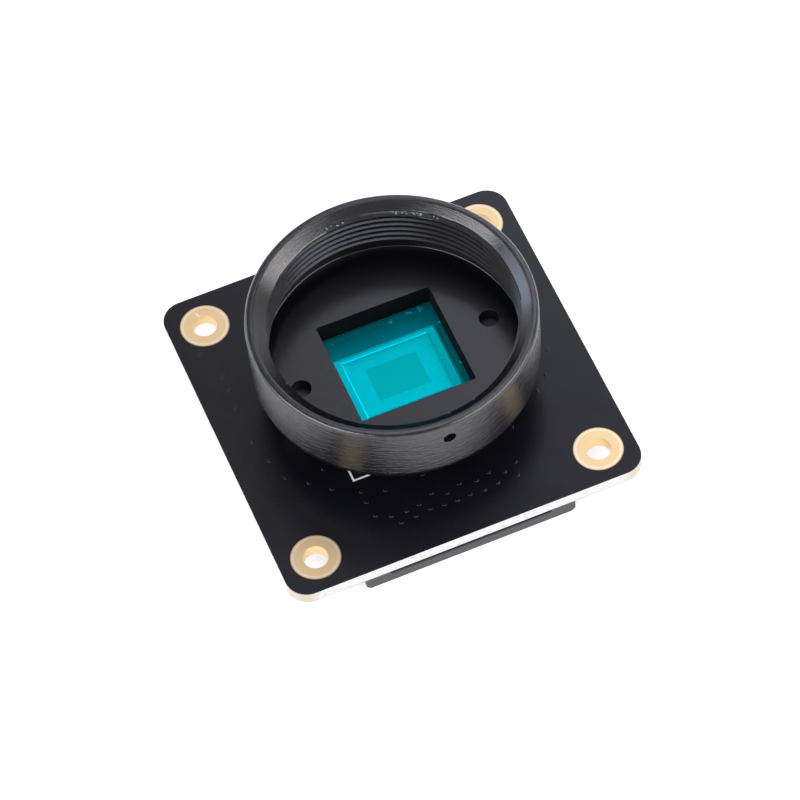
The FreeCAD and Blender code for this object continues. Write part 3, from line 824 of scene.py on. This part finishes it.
def moulded_finish(name, dark, light, roughness):
    """A moulded or fired skin: mottled by what fills it, with the fine texture of its mould."""
    finish, tree = new_finish(name)
    place = add_node(tree, "TexCoord")
    fibres = add_node(
        tree, "TexNoise", {"Scale": per_metre(2 / 7), "Detail": 4.0, "Distortion": 1.2},
        {"Vector": place.outputs["Object"]})
    skin = add_node(
        tree, "TexNoise", {"Scale": per_metre(1 / 12), "Detail": 2.0}, {"Vector": place.outputs["Object"]})
    colour = add_node(
        tree, "Mix", {"data_type": "RGBA", 6: linear(dark), 7: linear(light)}, {0: fibres})
    shine = add_node(
        tree, "MapRange", {"To Min": roughness - 0.08, "To Max": roughness + 0.08}, {"Value": fibres})
    bump = add_node(tree, "Bump", {"Strength": 0.4, "Distance": 0.00001}, {"Height": skin})
    shader = add_node(
        tree, "BsdfPrincipled", {"IOR": 1.53},
        {"Base Color": colour.outputs[2], "Roughness": shine, "Normal": bump})
    add_node(tree, "OutputMaterial", links={"Surface": shader})
    return finish


# Nylon with glass fibre: matt and faintly mottled, the housing black and the latch dark grey.
housing_nylon = moulded_finish("black_nylon", "#17171A", "#222226", 0.5)
latch_nylon = moulded_finish("dark_grey_nylon", "#3A3A3E", "#4C4C51", 0.45)
housing = softened("connector_housing", 0.04)
fit_piece(housing, housing_nylon, stands_for=["connector_housing"])
latch = softened("connector_latch", 0.06)
fit_piece(latch, latch_nylon, "latch", ["connector_latch"])
board_back = 1000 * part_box("solder_mask_back")[0].z
# Painted shade: a thin black strip on the latch's top front edge, where the board overhangs it.
shade_strip_half_width = 8.5
shade_strip_front = 1000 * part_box("connector_latch")[0].y - 0.02
shade_strip_back = shade_strip_front + 0.97
shade_strip = prism("painted_shade_strip", [
    (-shade_strip_half_width, shade_strip_front), (shade_strip_half_width, shade_strip_front), (shade_strip_half_width, shade_strip_back),
    (-shade_strip_half_width, shade_strip_back)], board_back - 1.46, board_back - 1.19)
# Painted shade: a matt black strip, darker than the nylon round it, stands for the shade under the board's
# overhang above the latch.
shade_strip_black = moulded_finish("painted_shade_black", "#08080A", "#0E0E10", 0.6)
fit_piece(shade_strip, shade_strip_black, "latch")

# Rolled bronze with a matt tin plate: pale grey metal in satin patches.
tin_plate, tree = new_finish("tin_plated_bronze")
place = add_node(tree, "TexCoord")
rolled = add_node(
    tree, "TexNoise", {"Scale": per_metre(0.25), "Detail": 3.0}, {"Vector": place.outputs["Object"]})
tin_colour = add_node(
    tree, "Mix", {"data_type": "RGBA", 6: linear("#C9C8C2"), 7: linear("#DCDBD6")}, {0: rolled})
tin_roughness = add_node(tree, "MapRange", {"To Min": 0.22, "To Max": 0.4}, {"Value": rolled})
shader = add_node(
    tree, "BsdfPrincipled", {"Metallic": 1.0},
    {"Base Color": tin_colour.outputs[2], "Roughness": tin_roughness})
add_node(tree, "OutputMaterial", links={"Surface": shader})
for node in ("connector_contacts", "connector_tabs"):
    fit_piece(softened(node, 0.02), tin_plate, stands_for=[node])


# The voltage regulators are moulded in black epoxy round bent tinned leads, and the crystal is a
# dark ceramic tray with a welded steel lid. All stand on the back of the board.

# Epoxy moulding compound, pressed hot: matt black with a fine sandy skin from the mould.
mould_compound = moulded_finish("black_moulding_epoxy", "#17171A", "#222226", 0.55)
for number in (1, 2, 3):
    fit_piece(
        softened(f"regulator_{number}", 0.05), mould_compound,
        stands_for=[f"regulator_{number}"])
    leads = f"regulator_{number}_leads"
    fit_piece(softened(leads, 0.03), tin_plate, stands_for=[leads])

# Nickel-plated steel sheet: warm bright metal with rolling lines along it.
lid_steel, tree = new_finish("rolled_steel_lid")
along, between = per_metre(10 / 9), per_metre(1 / 12)
place = add_node(tree, "TexCoord")
rolled_place = add_node(
    tree, "VectorMath", {"operation": "MULTIPLY", 1: (along, between, along)}, {0: place.outputs["Object"]})
rolling = add_node(tree, "TexNoise", {"Scale": 1.0, "Detail": 3.0}, {"Vector": rolled_place})
steel_colour = add_node(
    tree, "Mix", {"data_type": "RGBA", 6: linear("#B4B0A6"), 7: linear("#CFCBC2")}, {0: rolling})
steel_bump = add_node(tree, "Bump", {"Strength": 0.3, "Distance": 0.000003}, {"Height": rolling})
shader = add_node(
    tree, "BsdfPrincipled", {"Metallic": 1.0, "Roughness": 0.3},
    {"Base Color": steel_colour.outputs[2], "Normal": steel_bump})
add_node(tree, "OutputMaterial", links={"Surface": shader})
fit_piece(softened("crystal_lid", 0.05), lid_steel, stands_for=["crystal_lid"])
# Fired alumina coloured brown-black: matt with a fine grain.
crystal_tray = moulded_finish("dark_alumina_tray", "#3A3632", "#4A4540", 0.5)
fit_piece(softened("crystal_base", 0.04), crystal_tray, stands_for=["crystal_base"])


# The capacitors are stacked layers of ceramic and the resistors a film on alumina. Each has metal
# end caps, and is soldered by them to the back of the board.

# Barium titanate ceramic, fired bare: matt tan. The resistors' black glaze is glossy.
capacitor_ceramic = moulded_finish("tan_barium_titanate", "#A8794E", "#B98A5E", 0.55)
resistor_glaze = moulded_finish("black_resistor_glaze", "#141416", "#1F1F22", 0.25)
for number in range(1, 11):
    node = f"capacitor_{number}"
    fit_piece(softened(node, 0.04), capacitor_ceramic, stands_for=[node])
for number in range(1, 7):
    node = f"resistor_{number}"
    fit_piece(softened(node, 0.03), resistor_glaze, stands_for=[node])
for node in ("capacitor_terminals", "resistor_terminals"):
    fit_piece(softened(node, 0.04), tin_solder, stands_for=[node])


# A plain pale floor carries the module, under five soft boxes: one above, one behind, one to each
# side and a bluer one where a window would be. The surround is white low down and greyer overhead.

def sees_white(tree):
    """1 for the rays that see the white surround itself: the camera's, and those in gloss and glass."""
    ray = add_node(tree, "LightPath")
    seen = add_node(
        tree, "Math", {"operation": "MAXIMUM"},
        {0: ray.outputs["Is Camera Ray"], 1: ray.outputs["Is Glossy Ray"]})
    return add_node(
        tree, "Math", {"operation": "MAXIMUM"}, {0: seen, 1: ray.outputs["Is Transmission Ray"]})


# Painted board: matt and pale, and white to the camera, with the module's shadow on it.
floor_finish, tree = new_finish("pale_studio_floor")
glow = add_node(tree, "Math", {"operation": "MULTIPLY", 1: 0.7}, {0: sees_white(tree)})
shader = add_node(
    tree, "BsdfPrincipled",
    {"Base Color": linear("#C8C8C8"), "Roughness": 0.9, "Specular IOR Level": 0.0,
     "Emission Color": linear("#FFFFFF")},
    {"Emission Strength": glow})
add_node(tree, "OutputMaterial", links={"Surface": shader})
half, floor_z = 3000, 1000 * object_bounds()[0].z - 0.01
floor = make_piece("studio_floor", [
    (-half, -half, floor_z), (half, -half, floor_z), (half, half, floor_z), (-half, half, floor_z)],
    [(0, 1, 2, 3)])
floor.data.materials.append(floor_finish)

world = bpy.data.worlds.new("white_surround")
bpy.context.scene.world = world
world.use_nodes = True
tree = world.node_tree
tree.nodes.clear()
direction = add_node(tree, "TexCoord")
direction_parts = add_node(tree, "SeparateXYZ", links={0: direction.outputs["Generated"]})
backdrop = add_node(
    tree, "MapRange", {"From Min": 0.1, "From Max": 0.45, "To Min": 1.0, "To Max": 0.35},
    {"Value": direction_parts.outputs["Z"]})
strength = add_node(tree, "Mix", {"data_type": "FLOAT", 2: 0.5}, {0: sees_white(tree), 3: backdrop})
surround = add_node(tree, "Background", {"Color": linear("#FFFFFF")}, {"Strength": strength})
add_node(tree, "OutputWorld", links={"Surface": surround})


def soft_box(name, azimuth, elevation, width, height, watts, colour):
    """A soft box half a metre from the module, at an angle in degrees round from +X and one up."""
    lamp = bpy.data.lights.new(name, "AREA")
    lamp.shape, lamp.size, lamp.size_y = "RECTANGLE", width, height
    lamp.energy, lamp.color = watts, linear(colour)[:3]
    box = bpy.data.objects.new(name, lamp)
    bpy.context.scene.collection.objects.link(box)
    round_z, up = math.radians(azimuth), math.radians(elevation)
    away = Vector((math.cos(round_z) * math.cos(up), math.sin(round_z) * math.cos(up), math.sin(up)))
    box.location = away * 0.5
    box.rotation_euler = away.to_track_quat("Z", "Y").to_euler()


soft_box("top_soft_box", -12, 79, 0.48, 0.5, 1.05, "#E3E6FF")
soft_box("rear_soft_box", 45, 42, 0.4, 0.26, 0.45, "#E3E6FF")
soft_box("right_soft_box", -42, 27, 0.58, 0.2, 1.45, "#FFFCFC")
soft_box("left_soft_box", 196, 29, 0.51, 0.2, 1.6, "#F6F6FF")
soft_box("window_soft_box", 140, 18, 0.3, 0.2, 0.45, "#CCDFFF")

# The camera looks down from the front left, at the place and with the lens that the four holes and
# the board's edges in the photograph give. Places are in millimetres.
camera_place, aim_place, roll = (-72.439, -228.867, 357.955), (-0.53, -1.53, 0.0), -5.984
camera_data = bpy.data.cameras.new("camera")
camera_data.lens, camera_data.sensor_width = 195.02, 36
camera = bpy.data.objects.new("camera", camera_data)
bpy.context.scene.collection.objects.link(camera)
bpy.context.scene.camera = camera
camera.location = Vector(camera_place) * 0.001
aim = Vector(aim_place) * 0.001
level = (aim - camera.location).to_track_quat("-Z", "Y")
camera.rotation_euler = (level @ Quaternion((0, 0, 1), math.radians(roll))).to_euler()
bpy.context.scene.view_settings.view_transform = "Standard"
